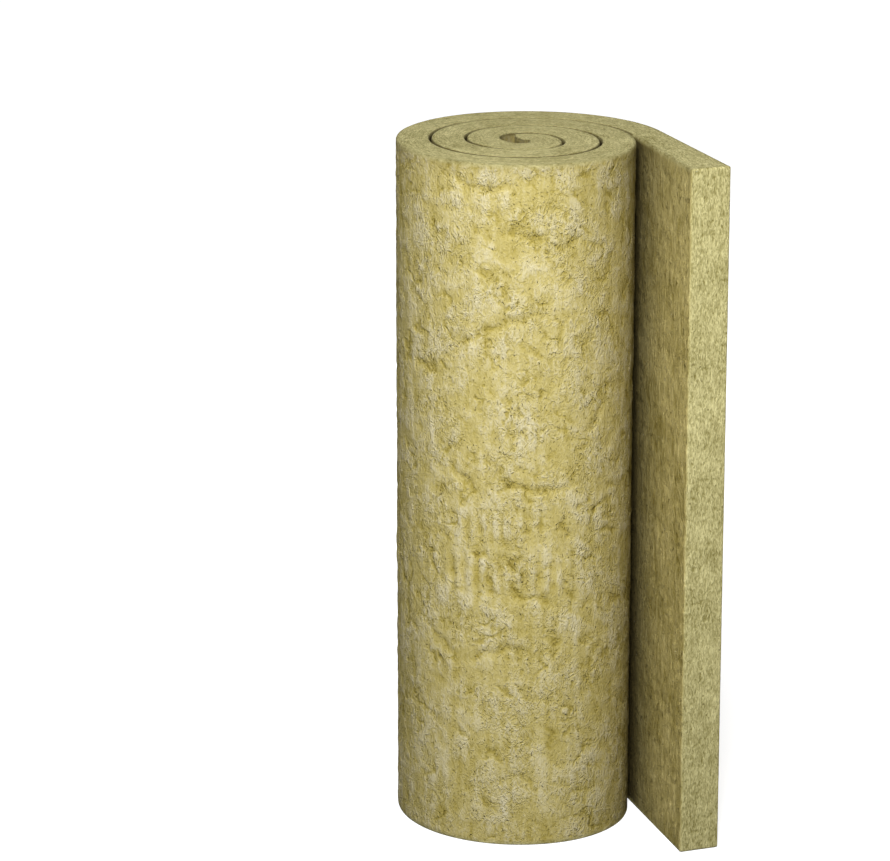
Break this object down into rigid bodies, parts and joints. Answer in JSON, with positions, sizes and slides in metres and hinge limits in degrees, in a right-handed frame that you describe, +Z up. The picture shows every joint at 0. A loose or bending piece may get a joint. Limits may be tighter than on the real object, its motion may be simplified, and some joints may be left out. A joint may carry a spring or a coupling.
{
  "type": "insulation roll",
  "caption": "Roll of stone wool insulation mat, wound in a spiral and stood on end, with its outer end left free as a short straight flap.",
  "frame": {"origin": "middle of the box round the roll and its free end, on the floor that the roll stands on", "axes": "+Z up along the winding axis; the free end leaves the roll on its +X side and runs along -Y"},
  "size_m": [0.379, 0.447, 1],
  "materials": {
    "stone_wool": "matt fibrous wool"
  },
  "bodies": {
    "root": {"wool_mat": "stone_wool"}
  },
  "joints": []
}
